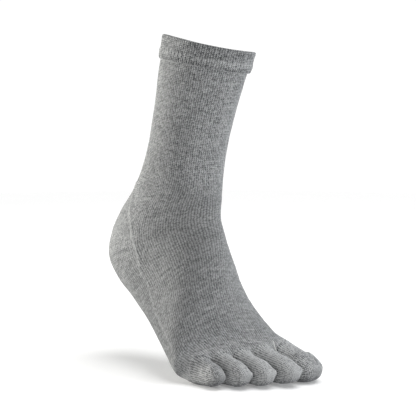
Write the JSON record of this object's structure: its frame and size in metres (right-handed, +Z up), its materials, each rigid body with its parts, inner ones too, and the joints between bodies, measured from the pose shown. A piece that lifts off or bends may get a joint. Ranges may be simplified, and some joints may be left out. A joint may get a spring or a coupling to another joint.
{
  "type": "toe sock",
  "caption": "Knitted crew-length sock with a separate pocket for each toe, a shaped heel and a turned cuff, in the form of a raised foot.",
  "frame": {"origin": "where a wearer's foot bears: the inner face of the sole, under the middle of the ball of the foot", "axes": "+X towards the toes, +Y towards the big-toe side, +Z up; the sole under the ball and toes is level, and the heel is raised as worn on tiptoe"},
  "size_m": [0.2228, 0.104, 0.313],
  "materials": {
    "knit_cuff": "melange grey knit, doubled and turned over, soft and matte",
    "knit_leg": "melange grey fine-rib knit, matte with a soft fuzz",
    "knit_heel": "melange grey plain knit, slightly lighter, matte",
    "knit_foot": "melange grey fine-rib knit, matte with a soft fuzz",
    "knit_toes": "melange grey fine knit, matte with a soft fuzz"
  },
  "bodies": {
    "root": {"cuff": "knit_cuff", "leg": "knit_leg", "heel": "knit_heel", "foot": "knit_foot", "little_toe": "knit_toes", "fourth_toe": "knit_toes", "third_toe": "knit_toes", "second_toe": "knit_toes", "big_toe": "knit_toes"}
  },
  "joints": []
}
